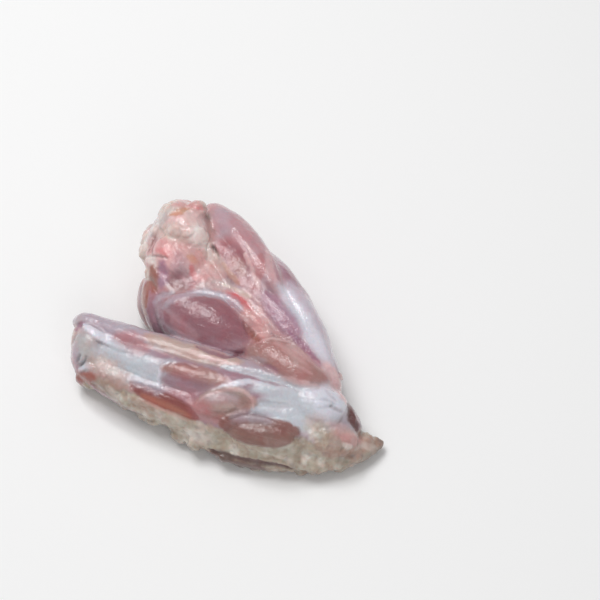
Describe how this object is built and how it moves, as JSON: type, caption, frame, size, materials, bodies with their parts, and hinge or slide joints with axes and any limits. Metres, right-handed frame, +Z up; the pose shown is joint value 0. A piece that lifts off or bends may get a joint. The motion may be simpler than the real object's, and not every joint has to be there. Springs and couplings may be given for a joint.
{
  "type": "raw chicken wing",
  "caption": "Raw skinless chicken wing with its tip cut off: the upper arm lies folded behind the forearm, pale fat at the shoulder and along the edge.",
  "frame": {"origin": "on the table under the middle of the wing's box", "axes": "+Z up; the elbow points to +X; the forearm runs towards -X in front, at -Y, and the upper arm lies behind it, at +Y"},
  "size_m": [0.091, 0.0879, 0.0288],
  "materials": {
    "raw_meat": "wet, translucent, purple-pink meat with pale fat and silverskin"
  },
  "bodies": {
    "root": {"wing": "raw_meat"}
  },
  "joints": []
}
